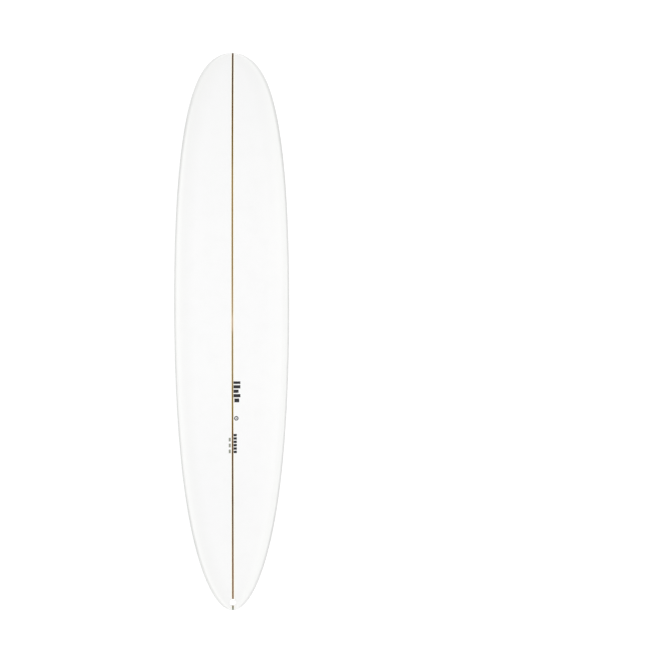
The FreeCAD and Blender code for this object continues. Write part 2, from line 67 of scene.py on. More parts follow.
def spline(xs, ys):
    n = len(xs)
    a, b, c, r = [0.0] * n, [1.0] * n, [0.0] * n, [0.0] * n
    for i in range(1, n - 1):
        a[i] = xs[i] - xs[i - 1]
        b[i] = 2 * (xs[i + 1] - xs[i - 1])
        c[i] = xs[i + 1] - xs[i]
        r[i] = 6 * ((ys[i + 1] - ys[i]) / c[i] - (ys[i] - ys[i - 1]) / a[i])
    for i in range(1, n):
        m = a[i] / b[i - 1]
        b[i] -= m * c[i - 1]
        r[i] -= m * r[i - 1]
    k = [0.0] * n
    k[-1] = r[-1] / b[-1]
    for i in range(n - 2, -1, -1):
        k[i] = (r[i] - c[i] * k[i + 1]) / b[i]

    def value(x):
        i = 0
        while i < n - 2 and x > xs[i + 1]:
            i += 1
        w = xs[i + 1] - xs[i]
        p, q = (xs[i + 1] - x) / w, (x - xs[i]) / w
        return p * ys[i] + q * ys[i + 1] + ((p ** 3 - p) * k[i] + (q ** 3 - q) * k[i + 1]) * w * w / 6
    return value


STN = [0, 500, 1300, 2100, LENGTH]
centre_thick = spline([q for q, _ in FOIL], [f * THICK for _, f in FOIL])
apex_part = spline(STN, [0.38, 0.40, 0.45, 0.48, 0.50])
deck_power = spline(STN, [2.3, 2.7, 2.9, 2.8, 2.3])
bottom_power = spline(STN, [3.0, 4.2, 3.6, 3.0, 2.4])


def half_width(q):
    t = min(max(1 - q / LENGTH, 0.0), 1.0)
    x = 1 - 2 * t
    return HALF_W * math.sqrt(max(4 * t * (1 - t), 0)) * sum(c * x ** i for i, c in enumerate(OUTLINE))


def rocker(q):
    if q < FLAT:
        return TAIL_ROCKER * ((FLAT - q) / FLAT) ** P_TAIL
    return NOSE_ROCKER * ((q - FLAT) / (LENGTH - FLAT)) ** P_NOSE


def tip_round(q):
    g = 1.0
    for d, r in ((q, R_TAIL), (LENGTH - q, R_NOSE)):
        if d < r:
            g *= math.sqrt(max(1 - (1 - d / r) ** 2, 0))
    return g


class Section:
    """One station's section, its numbers worked out once."""

    def __init__(self, q):
        self.q = q
        self.w = half_width(q)
        thick, part = centre_thick(q), apex_part(q)
        g = tip_round(q)
        self.apex = rocker(q) + part * thick
        self.up, self.down = (1 - part) * thick * g, part * thick * g
        self.pd, self.pb = deck_power(q), bottom_power(q)

    def at(self, phi, side):
        power = self.pd if side > 0 else self.pb
        c, s = math.cos(phi), math.sin(phi)
        r = (abs(c) ** power + abs(s) ** power) ** (-1 / power)
        u, rise = r * c, r * s
        if side > 0:
            rise = (1 - CROWN) * rise + CROWN * (1 - u * u)
            return Vector((self.w * u, self.q - LENGTH / 2, self.apex + self.up * rise))
        return Vector((self.w * u, self.q - LENGTH / 2, self.apex - self.down * rise))

    def phi_at(self, x, side):
        """The phi at which the section is at x."""
        power = self.pd if side > 0 else self.pb
        u = max(min(x / self.w, 1.0), -1.0)
        v = max(1 - abs(u) ** power, 0.0) ** (1 / power)
        return math.atan2(v, u)


def skin_z(x, y, side):
    """Height of the skin over a point of the plan, in mm."""
    s = Section(y + LENGTH / 2)
    return s.at(s.phi_at(x, side), side).z


def skin_normal(x, y, side):
    e = 0.5
    dx = (skin_z(x + e, y, side) - skin_z(x - e, y, side)) / (2 * e)
    dy = (skin_z(x, y + e, side) - skin_z(x, y - e, side)) / (2 * e)
    return Vector((-dx, -dy, 1.0)).normalized() * side


def hull_normal(q, phi, side):
    e = 1e-3
    lo, hi = max(phi - e, 0), min(phi + e, math.pi)
    s = Section(q)
    across = s.at(hi, side) - s.at(lo, side)
    if phi < 1e-6 or phi > math.pi - 1e-6:
        across = Vector((0, 0, side if phi < 1 else -side))
    dq = min(0.05, q / 4, (LENGTH - q) / 4)
    along = Section(q + dq).at(phi, side) - Section(q - dq).at(phi, side)
    n = across.cross(along).normalized()
    p = s.at(phi, side)
    if n.z * side < -1e-9 or (abs(n.z) < 1e-3 and n.x * p.x < 0):
        n = -n
    return n


TAU0 = math.acos(1 - 2 * 0.25 / LENGTH)


def stations(n):
    return [LENGTH / 2 * (1 - math.cos(TAU0 + (math.pi - 2 * TAU0) * i / n)) for i in range(n + 1)]


# ---------------------------------------------------------------------------
# Materials
# ---------------------------------------------------------------------------
class Mat:
    """A small helper for node materials."""

    def __init__(self, name):
        self.m = bpy.data.materials.new(name)
        self.m.use_nodes = True
        self.t = self.m.node_tree
        self.b = self.t.nodes["Principled BSDF"]
        tc = self.t.nodes.new("ShaderNodeTexCoord")
        self.obj = tc.outputs["Object"]

    def node(self, kind, **kw):
        n = self.t.nodes.new(kind)
        for k, v in kw.items():
            if k.startswith("in_"):
                n.inputs[k[3:].replace("_", " ")].default_value = v
            else:
                setattr(n, k, v)
        return n

    def link(self, a, b):
        self.t.links.new(a, b)

    def mapped(self, scale):
        n = self.node("ShaderNodeMapping")
        n.inputs["Scale"].default_value = scale
        self.link(self.obj, n.inputs["Vector"])
        return n.outputs["Vector"]

    def noise(self, scale, detail=3.0, rough=0.5, vec=None):
        n = self.node("ShaderNodeTexNoise")
        n.inputs["Scale"].default_value = scale
        n.inputs["Detail"].default_value = detail
        n.inputs["Roughness"].default_value = rough
        self.link(vec or self.obj, n.inputs["Vector"])
        return n.outputs["Fac"]

    def ramp(self, fac, stops):
        n = self.node("ShaderNodeValToRGB")
        e = n.color_ramp.elements
        e[0].position, e[0].color = stops[0][0], (*stops[0][1], 1)
        e[1].position, e[1].color = stops[-1][0], (*stops[-1][1], 1)
        for p, c in stops[1:-1]:
            x = e.new(p)
            x.color = (*c, 1)
        self.link(fac, n.inputs["Fac"])
        return n.outputs["Color"]

    def span(self, fac, a, b, lo=0.0, hi=1.0):
        n = self.node("ShaderNodeMapRange")
        n.inputs["From Min"].default_value = lo
        n.inputs["From Max"].default_value = hi
        n.inputs["To Min"].default_value = a
        n.inputs["To Max"].default_value = b
        self.link(fac, n.inputs["Value"])
        return n.outputs["Result"]

    def math(self, op, a, b=None):
        n = self.node("ShaderNodeMath", operation=op)
        for i, v in enumerate((a, b)):
            if v is None:
                continue
            if isinstance(v, (int, float)):
                n.inputs[i].default_value = v
            else:
                self.link(v, n.inputs[i])
        return n.outputs[0]

    def mix(self, fac, a, b, mode="MIX"):
        n = self.node("ShaderNodeMix", data_type="RGBA", blend_type=mode)
        for sock, v in ((n.inputs[0], fac), (n.inputs[6], a), (n.inputs[7], b)):
            if isinstance(v, (int, float)):
                sock.default_value = v
            elif isinstance(v, tuple):
                sock.default_value = (*v, 1)
            else:
                self.link(v, sock)
        return n.outputs[2]

    def bump(self, height, distance, strength=1.0):
        n = self.node("ShaderNodeBump")
        n.inputs["Strength"].default_value = strength
        n.inputs["Distance"].default_value = distance
        self.link(height, n.inputs["Height"])
        self.link(n.outputs["Normal"], self.b.inputs["Normal"])
        return n

    def set(self, **kw):
        for k, v in kw.items():
            s = self.b.inputs[k.replace("_", " ")]
            if isinstance(v, tuple) and len(v) == 3:
                v = (*v, 1)
            if isinstance(v, (int, float, tuple)):
                s.default_value = v
            else:
                self.link(v, s)


# colour of the rails: the greyer glass of the cloth lap, together with painted shade of the rails turning from the
# light
RAIL_LAP_AND_SHADE_TINT = (0.572, 0.580, 0.572)


def skin_material(name, lap):
    """White foam seen through clear glass and polished resin."""
    m = Mat(name)
    slow = m.noise(1.6, 3.0, 0.55)
    cloud = m.noise(14.0, 4.0, 0.6)
    base = m.ramp(slow, [(0.30, (0.838, 0.840, 0.842)), (0.70, (0.857, 0.857, 0.855))])
    sep = m.node("ShaderNodeSeparateXYZ")
    m.link(m.obj, sep.inputs[0])
    # painted light and shade: the skin is paler through the middle of its length and darker towards the tail and most
    # of all the nose, where the rocker turns it from the light
    painted_light_along_length = m.ramp(m.span(sep.outputs["Y"], 0.0, 1.0, -1.3716, 1.3716), [
        (0.0, (0.5, 0.5, 0.5)), (0.17, (0.6, 0.6, 0.6)), (0.32, (0.72, 0.72, 0.72)), (0.50, (1.0, 1.0, 1.0)),
        (0.68, (0.85, 0.85, 0.85)), (0.82, (0.5, 0.5, 0.5)), (0.92, (0.3, 0.3, 0.3)), (1.0, (0.0, 0.0, 0.0))])
    base = m.mix(m.math("MULTIPLY", painted_light_along_length, 0.30), base, (0.985, 0.984, 0.981))
    base = m.mix(m.span(cloud, 0.0, 0.35, 0.45, 0.8), base, (0.834, 0.834, 0.831))
    # a paler line of filled foam each side of the stringer, where the two halves were glued up
    off = m.math("ADD", m.math("ABSOLUTE", sep.outputs["X"]), m.span(m.noise(55.0, 2.0), -0.0006, 0.0006))
    base = m.mix(m.span(off, 0.85, 0.0, 0.0075, 0.0105), base, (0.930, 0.900, 0.775))
    # foam cells, a fine speckle under the glass
    cells = m.noise(900.0, 2.0, 0.6)
    base = m.mix(m.span(cells, 0.0, 0.10, 0.55, 0.8), base, (0.78, 0.78, 0.76))
    # the cloths overlap on the rails, where more layers of glass look greyer; the greying is also painted shade,
    # darkening the skin towards the rails where they turn from the light
    at = m.node("ShaderNodeAttribute", attribute_name="inboard")
    wob = m.math("ADD", at.outputs["Fac"], m.span(m.noise(30.0, 2.0), -0.0012, 0.0012))
    # painted shade and lap: a broad darkening over the last 110 mm in towards each rail
    broad_rail_lap_and_shade = m.span(at.outputs["Fac"], 0.62, 0.0, 0.015, 0.110)
    base = m.mix(broad_rail_lap_and_shade, base, (0.800, 0.802, 0.790))
    # less towards the tips, where the rails are thinner
    rail = m.math("MULTIPLY", m.span(wob, 1.0, 0.0, 0.010, 0.021),
                  m.span(m.math("ABSOLUTE", sep.outputs["Y"]), 1.0, 0.62, 1.0, 1.3))
    base = m.mix(rail, base, RAIL_LAP_AND_SHADE_TINT)
    if lap:
        # the bottom cloth's edge on the deck, a faint line 48 mm in
        inside = m.span(wob, 1.0, 0.0, 0.0478, 0.0486)
        base = m.mix(m.math("MULTIPLY", inside, 0.12), base, (0.805, 0.812, 0.79))
    # cloth: two crossed sets of threads, about 1.3 mm apart
    wx = m.math("SINE", m.math("MULTIPLY", sep.outputs["X"], 4830.0))
    wy = m.math("SINE", m.math("MULTIPLY", sep.outputs["Y"], 4830.0))
    weave = m.math("MULTIPLY", wx, wy)
    sand = m.noise(60.0, 3.0, 0.5)
    h = m.math("ADD", m.math("MULTIPLY", weave, 0.06), sand)
    m.bump(h, 0.00006, 0.5)
    m.set(Base_Color=base, Roughness=m.span(sand, 0.30, 0.44), IOR=1.52, Specular_IOR_Level=0.15,
          Coat_Weight=1.0, Coat_Roughness=0.05, Coat_IOR=1.5)
    return m.m


def srgb(r, g, b):
    return tuple((c / 255 / 12.92) if c <= 10 else ((c / 255 + 0.055) / 1.055) ** 2.4 for c in (r, g, b))


def wood_material(name, tones, grain_amount=1.0):
    """A strip of timber seen edge-on through resin. tones: (metres from the middle, sRGB colour) along its length."""
    m = Mat(name)
    sep = m.node("ShaderNodeSeparateXYZ")
    m.link(m.obj, sep.inputs[0])
    slow = m.noise(1.0, 2.0, 0.5, m.mapped((3.0, 2.6, 3.0)))
    along = m.math("ADD", sep.outputs["Y"], m.span(slow, -0.012, 0.012, 0.3, 0.7))
    lo, hi = tones[0][0], tones[-1][0]
    t = m.span(along, 0.0, 1.0, lo, hi)
    base = m.ramp(t, [((y - lo) / (hi - lo), srgb(*c)) for y, c in tones])
    grain = m.noise(1.0, 5.0, 0.62, m.mapped((1500.0, 9.0, 300.0)))
    streak = m.noise(1.0, 3.0, 0.5, m.mapped((420.0, 2.2, 60.0)))
    pores = m.noise(1.0, 2.0, 0.7, m.mapped((2600.0, 120.0, 900.0)))
    dark = m.mix(1.0, base, (0.50, 0.45, 0.38), "MULTIPLY")
    light = m.mix(1.0, base, (1.38, 1.34, 1.26), "MULTIPLY")
    base = m.mix(m.span(grain, 0.0, 0.55 * grain_amount, 0.46, 0.26), base, dark)
    base = m.mix(m.span(streak, 0.0, 0.70 * grain_amount, 0.50, 0.74), base, light)
    base = m.mix(m.span(pores, 0.0, 0.60 * grain_amount, 0.60, 0.74), base, dark)
    m.bump(grain, 0.00004, 0.4)
    m.set(Base_Color=base, Roughness=m.span(streak, 0.34, 0.5), IOR=1.52, Specular_IOR_Level=0.1,
          Coat_Weight=1.0, Coat_Roughness=0.05, Coat_IOR=1.5)
    return m.m


def plastic_material(name, colour, rough=0.35, shift=0.03):
    m = Mat(name)
    slow = m.noise(60.0, 3.0)
    fine = m.noise(1400.0, 2.0)
    low = tuple(c * (1 - shift) for c in colour)
    m.set(Base_Color=m.ramp(slow, [(0.35, low), (0.65, colour)]),
          Roughness=m.span(fine, rough - 0.06, rough + 0.08), IOR=1.46)
    m.bump(fine, 0.00003, 0.5)
    return m.m


def metal_material(name, colour, rough=0.32):
    m = Mat(name)
    brush = m.noise(1.0, 3.0, 0.6, m.mapped((900.0, 900.0, 4000.0)))
    low = tuple(c * 0.72 for c in colour)
    m.set(Base_Color=m.ramp(brush, [(0.3, low), (0.7, colour)]), Metallic=1.0,
          Roughness=m.span(brush, rough - 0.08, rough + 0.12))
    m.bump(brush, 0.00002, 0.5)
    return m.m


def ink_material(name, colour, coat=1.0):
    """Ink on rice paper, laid under the resin: dull ink, glossy above."""
    m = Mat(name)
    fibre = m.noise(1.0, 4.0, 0.7, m.mapped((700.0, 260.0, 700.0)))
    low = tuple(c * 0.75 for c in colour)
    high = tuple(min(c * 1.15 + 0.004, 1.0) for c in colour)
    m.set(Base_Color=m.ramp(fibre, [(0.3, low), (0.7, high)]), Roughness=m.span(fibre, 0.5, 0.65),
          IOR=1.5, Specular_IOR_Level=0.1, Coat_Weight=coat, Coat_Roughness=0.05, Coat_IOR=1.5)
    m.bump(fibre, 0.00002, 0.3)
    return m.m


MAT_DECK = skin_material("deck_skin", True)
MAT_BOTTOM = skin_material("bottom_skin", False)
MAT_WOOD_DECK = wood_material("stringer_deck", [
    (-1.372, (107, 121, 100)), (-1.362, (111, 123, 105)), (-1.352, (117, 125, 107)), (-1.335, (138, 109, 73)),
    (-1.300, (130, 94, 56)), (-1.200, (118, 75, 29)), (-1.020, (99, 63, 23)), (-0.830, (80, 49, 17)),
    (-0.670, (84, 52, 18)), (-0.480, (108, 76, 26)), (-0.380, (128, 103, 34)), (-0.190, (143, 121, 80)),
    (-0.015, (143, 121, 80)), (0.022, (185, 162, 137)), (0.065, (192, 170, 147)), (0.095, (169, 147, 113)),
    (0.165, (164, 139, 102)), (0.350, (143, 118, 73)), (0.550, (138, 112, 65)), (0.750, (138, 112, 64)),
    (0.940, (108, 83, 26)), (1.110, (91, 62, 21)), (1.250, (73, 45, 15)), (1.330, (78, 48, 16)),
    (1.372, (78, 48, 16))])
MAT_WOOD_BOTTOM = wood_material("stringer_bottom", [
    (-1.372, (96, 90, 80)), (-1.362, (150, 128, 108)), (-1.20, (188, 150, 116)), (-0.80, (202, 168, 134)), (-0.30, (206, 170, 136)),
    (0.00, (212, 176, 146)), (0.40, (200, 162, 128)), (0.80, (198, 162, 128)), (1.10, (188, 152, 118)), (1.25, (172, 134, 100)),
    (1.350, (150, 116, 86)), (1.362, (104, 96, 84)), (1.372, (90, 86, 78))], 0.6)
MAT_FOAM = plastic_material("foam", (0.86, 0.855, 0.82), 0.8)
MAT_WOOD_CORE = wood_material("stringer_core", [(-1.372, (190, 152, 112)), (1.372, (198, 160, 120))])
MAT_BOX = plastic_material("box_plastic", (0.90, 0.90, 0.895), 0.34, 0.02)
MAT_PLUG = plastic_material("plug_plastic", (0.955, 0.955, 0.95), 0.30, 0.012)
MAT_SCREW = metal_material("screw_steel", (0.42, 0.42, 0.43))
MAT_PLATE = metal_material("plate_steel", (0.55, 0.55, 0.56), 0.38)
MAT_BAR = plastic_material("bar_plastic", (0.955, 0.955, 0.95), 0.3, 0.012)
for pm, weight, depth in ((MAT_PLUG, 1.0, 0.012), (MAT_BAR, 1.0, 0.012), (MAT_BOX, 0.5, 0.004)):
    pb = pm.node_tree.nodes["Principled BSDF"]
    pb.inputs["Subsurface Weight"].default_value = weight
    pb.inputs["Subsurface Radius"].default_value = (1.0, 1.0, 1.0)
    pb.inputs["Subsurface Scale"].default_value = depth
    if depth > 0.01:            # painted light: the plug's and the bar's plastic glows a little, so the cup shows no shade inside
        pb.inputs["Emission Color"].default_value = (1.0, 1.0, 1.0, 1.0)
        pb.inputs["Emission Strength"].default_value = 0.20
MAT_INK = ink_material("ink_black", (0.0065, 0.0065, 0.006))
MAT_INK_DECK = ink_material("ink_grey", (0.030, 0.030, 0.034))
MAT_INK_FAINT = ink_material("ink_faint", (0.30, 0.31, 0.26))
MAT_INK_LIGHT = ink_material("ink_light", (0.62, 0.62, 0.60))


# ---------------------------------------------------------------------------
# Mesh helpers (millimetres in, metres out)
# ---------------------------------------------------------------------------
def new_object(name, verts, faces, mats, face_mats=None, smooth=True):
    me = bpy.data.meshes.new(name)
    me.from_pydata([tuple(c / 1000 for c in v) for v in verts], [], faces)
    for m in mats:
        me.materials.append(m)
    if face_mats:
        me.polygons.foreach_set("material_index", face_mats)
    me.polygons.foreach_set("use_smooth", [smooth] * len(me.polygons))
    me.update()
    o = bpy.data.objects.new(name, me)
    bpy.context.scene.collection.objects.link(o)
    return o


def racetrack(length, width, n=18):
    """Plan outline of a round-ended slot, long side along Y, anticlockwise."""
    r, a = width / 2, length / 2 - width / 2
    pts = [(r * math.cos(math.pi * i / n), a + r * math.sin(math.pi * i / n)) for i in range(n + 1)]
    pts += [(r * math.cos(math.pi + math.pi * i / n), -a + r * math.sin(math.pi + math.pi * i / n)) for i in range(n + 1)]
    return pts


def prism(name, pts, z0, z1, place):
    n = len(pts)
    verts = [place @ Vector((x, y, z)) for z in (z0, z1) for x, y in pts]
    faces = [tuple(range(n))[::-1], tuple(range(n, 2 * n))]
    faces += [(i, (i + 1) % n, n + (i + 1) % n, n + i) for i in range(n)]
    return new_object(name, verts, faces, [])


def subtract(obj, cutters):
    """Cut the cutters out of the object, with the result applied."""
    for c in cutters:
        mod = obj.modifiers.new("cut", "BOOLEAN")
        mod.operation, mod.solver, mod.object = "DIFFERENCE", "EXACT", c
    bpy.context.view_layer.update()
    deps = bpy.context.evaluated_depsgraph_get()
    me = bpy.data.meshes.new_from_object(obj.evaluated_get(deps), preserve_all_data_layers=True, depsgraph=deps)
    old = obj.data
    obj.modifiers.clear()
    obj.data = me
    bpy.data.meshes.remove(old)
    return obj


def remove(objs):
    for o in objs:
        me = o.data
        bpy.data.objects.remove(o)
        bpy.data.meshes.remove(me)


# Frames of the fin boxes and the leash plug, as in the CAD
FRAME_C = Matrix.Translation((0, -1075.1, 37.852)) @ Matrix.Rotation(-math.atan2(0.077804, 0.996969), 4, "X")
FRAME_S = {}
for tag, sg in (("right", 1), ("left", -1)):
    FRAME_S[tag] = (Matrix.Translation((sg * 181.5, -877.6, 26.925)) @ Matrix.Rotation(math.radians(3 * sg), 4, "Z")
                    @ Matrix.Rotation(-math.atan2(0.07065, 0.997501), 4, "X"))
FRAME_L = Matrix.Translation((0, -1330.1, 87.329)) @ Matrix.Rotation(math.radians(-0.987), 4, "X") @ Matrix.Rotation(math.pi, 4, "Y")

# ---------------------------------------------------------------------------
# Skins
# ---------------------------------------------------------------------------
N_LONG = 300
N_ACROSS = 44
QS = stations(N_LONG)
GAP = 0.08        # resin line round each inset fitting


def surface_grid(side):
    """Rows of (phi values) per station for the right half, from the rail to the stringer."""
    rows = []
    for q in QS:
        s = Section(q)
        edge = min(HALF_STRINGER, s.w * 0.75)
        end = s.phi_at(edge, side)
        # finer towards the rail, where the section turns fastest
        rows.append((s, [end * (i / N_ACROSS) ** 1.15 for i in range(N_ACROSS + 1)]))
    return rows


def skin_half(side, sgn, rows, verts, faces, fmats, inboard):
    """A closed shell for one half of one skin: outer face, inner face and rims."""
    base = len(verts)
    cols = N_ACROSS + 1
    for inner in (False, True):
        for s, phis in rows:
            dist, last = 0.0, None
            for phi in phis:
                p = s.at(phi, side)
                if last is not None:
                    dist += (p - last).length
                last = p.copy()
                if inner:
                    n = hull_normal(s.q, phi, side)
                    p = p - n * SKIN
                    if phi == phis[-1]:
                        p.x = min(s.at(phi, side).x, s.w * 0.75)
                    lim = LENGTH / 2 - 0.25 - SKIN
                    p.y = max(min(p.y, lim), -lim) if s.q in (QS[0], QS[-1]) else p.y
                verts.append(Vector((p.x * sgn, p.y, p.z)))
                inboard.append(dist / 1000)
    rows_n = len(rows)

    def vid(layer, i, j):
        return base + layer * rows_n * cols + i * cols + j

    flip = (side > 0) == (sgn > 0)

    def quad(a, b, c, d, mat):
        faces.append((a, b, c, d) if flip else (d, c, b, a))
        fmats.append(mat)
    for i in range(rows_n - 1):
        for j in range(cols - 1):
            quad(vid(0, i, j), vid(0, i + 1, j), vid(0, i + 1, j + 1), vid(0, i, j + 1), 0)
            quad(vid(1, i, j + 1), vid(1, i + 1, j + 1), vid(1, i + 1, j), vid(1, i, j), 1)
        quad(vid(0, i, 0), vid(1, i, 0), vid(1, i + 1, 0), vid(0, i + 1, 0), 1)
        j = cols - 1
        quad(vid(0, i + 1, j), vid(1, i + 1, j), vid(1, i, j), vid(0, i, j), 1)
    # the tips: a flat face from the outer edge to the mid-height line
    for i, back in ((0, True), (rows_n - 1, False)):
        s = rows[i][0]
        edge = verts[vid(0, i, cols - 1)]
        verts.append(Vector((edge.x, edge.y, s.apex)))
        inboard.append(0.0)
        hub = len(verts) - 1
        for j in range(cols - 1):
            a, b = vid(0, i, j), vid(0, i, j + 1)
            f = (a, b, hub) if back == flip else (b, a, hub)
            faces.append(f)
            fmats.append(2)


def build_skin(name, side, mat):
    rows = surface_grid(side)
    verts, faces, fmats, inboard = [], [], [], []
    for sgn in (1, -1):
        skin_half(side, sgn, rows, verts, faces, fmats, inboard)
    o = new_object(name, verts, faces, [mat, MAT_FOAM, mat], fmats)
    at = o.data.attributes.new("inboard", "FLOAT", "POINT")
    at.data.foreach_set("value", inboard)
    return o


def set_hull_normals(o, side):
    """Shade the outer faces by the hull's own normals, so cuts leave no mark on the gloss."""
    me = o.data
    normals = [(0.0, 0.0, 0.0)] * len(me.loops)
    cache = {}
    for poly in me.polygons:
        if poly.material_index != 0:
            continue
        for li in poly.loop_indices:
            vi = me.loops[li].vertex_index
            if vi not in cache:
                co = me.vertices[vi].co * 1000
                q = min(max(co.y + LENGTH / 2, 0.25), LENGTH - 0.25)
                s = Section(q)
                phi = s.phi_at(co.x, side)
                # near the rail phi comes from the height, which is better placed there
                if abs(co.x) > 0.97 * s.w:
                    h = abs(co.z - s.apex) / max(s.up if side > 0 else s.down, 1e-6)
                    power = s.pd if side > 0 else s.pb
                    if side > 0:
                        u = abs(co.x) / s.w
                        h = (h - CROWN * (1 - u * u)) / (1 - CROWN)
                    h = min(max(h, 0.0), 1.0)
                    u = max(1 - h ** power, 0.0) ** (1 / power)
                    phi = math.atan2(h, u if co.x > 0 else -u)
                cache[vi] = hull_normal(q, min(max(phi, 0.0), math.pi), side)
            normals[li] = tuple(cache[vi])
    me.normals_split_custom_set(normals)


deck = build_skin("deck_laminate_skin", 1, MAT_DECK)
bottom = build_skin("bottom_laminate_skin", -1, MAT_BOTTOM)

cup_cut = prism("cup_cut", [((16.5 + GAP) * math.cos(a * math.pi / 36), (16.5 + GAP) * math.sin(a * math.pi / 36)) for a in range(72)], -6, 19, FRAME_L)
cbox_cut = prism("cbox_cut", racetrack(273 + 2 * GAP, 25.4 + 2 * GAP, 24), -6, 27, FRAME_C)
sbox_cut = {t: prism("sbox_cut_" + t, racetrack(136 + 2 * GAP, 26 + 2 * GAP, 24), -6, 20, FRAME_S[t]) for t in FRAME_S}

subtract(deck, [cup_cut])
subtract(bottom, [cbox_cut] + list(sbox_cut.values()))
set_hull_normals(deck, 1)
set_hull_normals(bottom, -1)



def mend_inboard(o, side):
    """The cuts' new points have no distance from the rail, so it is summed along the section again."""
    at = o.data.attributes["inboard"]
    for v in o.data.vertices:
        co = v.co * 1000
        q = min(max(co.y + LENGTH / 2, 0.25), LENGTH - 0.25)
        w = half_width(q)
        if w < 30 or abs(co.x) > 0.97 * w or at.data[v.index].value * 1000 > 0.9 * (w - abs(co.x)):
            continue
        s = Section(q)
        end = s.phi_at(abs(co.x), side)
        pts = [s.at(end * k / 40, side) for k in range(41)]
        at.data[v.index].value = sum((b - a).length for a, b in zip(pts, pts[1:])) / 1000


mend_inboard(deck, 1)
mend_inboard(bottom, -1)

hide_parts("deck_laminate")
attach(deck, "board")
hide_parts("bottom_laminate")
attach(bottom, "board")


# ---------------------------------------------------------------------------
# Stringer: a strip of timber from the bottom's surface to the deck's
# ---------------------------------------------------------------------------
def build_stringer():
    verts, faces, fmats = [], [], []
    K = 4
    for q in QS:
        s = Section(q)
        e = min(HALF_STRINGER, s.w * 0.75)
        for side in (1, -1):
            for k in range(K + 1):
                x = e - 2 * e * k / K
                if side < 0:
                    x = -x
                verts.append(s.at(s.phi_at(x, side), side))
    ring = 2 * (K + 1)
    for i in range(len(QS) - 1):
        for k in range(ring):
            a, b = i * ring + k, i * ring + (k + 1) % ring
            faces.append((a, a + ring, b + ring, b))
            fmats.append(0 if k < K else 1 if K < k < 2 * K + 1 else 2)
    faces.append(tuple(range(ring)))
    faces.append(tuple(range((len(QS) - 1) * ring, len(QS) * ring))[::-1])
    fmats += [0, 0]
    o = new_object("stringer_strip", verts, faces, [MAT_WOOD_DECK, MAT_WOOD_BOTTOM, MAT_WOOD_CORE], fmats)
    bm = bmesh.new()
    bm.from_mesh(o.data)
    bmesh.ops.recalc_face_normals(bm, faces=bm.faces)
    bm.to_mesh(o.data)
    bm.free()
    return o


strip = build_stringer()
subtract(strip, [cup_cut, cbox_cut])
normals = [(0.0, 0.0, 0.0)] * len(strip.data.loops)
for poly in strip.data.polygons:
    if poly.material_index == 2:
        poly.use_smooth = False
        continue
    side = 1 if poly.material_index == 0 else -1
    if abs(poly.normal.z) < 0.2 and abs(poly.normal.y) < 0.5:
        continue
    for li in poly.loop_indices:
        co = strip.data.vertices[strip.data.loops[li].vertex_index].co * 1000
        q = min(max(co.y + LENGTH / 2, 0.25), LENGTH - 0.25)
        s = Section(q)
        normals[li] = tuple(hull_normal(q, s.phi_at(co.x, side), side))
strip.data.normals_split_custom_set(normals)
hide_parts("stringer")
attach(strip, "board")
remove([cup_cut, cbox_cut] + list(sbox_cut.values()))


# ---------------------------------------------------------------------------
# Prints: thin sheets that follow the skin, plain bars and rings only
# ---------------------------------------------------------------------------
def outline_patch(pts, x0, y0, nx, ny, side, lift, thick, verts, faces, fmats, mat):
    """A thin closed sheet over a rectangle (w, l) in nx by ny cells, following the skin."""
    base = len(verts)
    w, l = pts
    for layer in (0, 1):
        for i in range(ny + 1):
            for j in range(nx + 1):
                x, y = x0 + w * j / nx, y0 + l * i / ny
                n = skin_normal(x, y, side)
                p = Vector((x, y, skin_z(x, y, side))) + n * (lift if layer == 0 else lift - thick)
                verts.append(p)
    c = nx + 1
    m = (nx + 1) * (ny + 1)

    def add(f):
        faces.append(f if side > 0 else f[::-1])
        fmats.append(mat)
    for i in range(ny):
        for j in range(nx):
            a = base + i * c + j
            add((a, a + 1, a + c + 1, a + c))
            add((a + m, a + m + c, a + m + c + 1, a + m + 1))
    for i in range(ny):
        for j, flip in ((0, False), (nx, True)):
            a = base + i * c + j
            f = (a, a + c, a + c + m, a + m)
            add(f if not flip else f[::-1])
    for j in range(nx):
        for i, flip in ((0, True), (ny, False)):
            a = base + i * c + j
            f = (a, a + 1, a + 1 + m, a + m)
            add(f[::-1] if not flip else f)


def ring_patch(cx, cy, r0, r1, side, lift, thick, verts, faces, fmats, mat, n=32):
    base = len(verts)
    for layer in (0, 1):
        for r in (r0, r1):
            for k in range(n):
                a = 2 * math.pi * k / n
                x, y = cx + r * math.cos(a), cy + r * math.sin(a)
                nn = skin_normal(x, y, side)
                verts.append(Vector((x, y, skin_z(x, y, side))) + nn * (lift if layer == 0 else lift - thick))

    def v(layer, ring, k):
        return base + (layer * 2 + ring) * n + k % n

    def add(f):
        faces.append(f if side > 0 else f[::-1])
        fmats.append(mat)
    for k in range(n):
        add((v(0, 0, k), v(0, 1, k), v(0, 1, k + 1), v(0, 0, k + 1)))
        add((v(1, 0, k), v(1, 0, k + 1), v(1, 1, k + 1), v(1, 1, k)))
        add((v(0, 1, k), v(1, 1, k), v(1, 1, k + 1), v(0, 1, k + 1)))
        add((v(0, 0, k + 1), v(1, 0, k + 1), v(1, 0, k), v(0, 0, k)))


def print_object(name, mats, build):
    verts, faces, fmats = [], [], []
    build(verts, faces, fmats)
    o = new_object(name, verts, faces, mats, fmats, smooth=False)
    return o


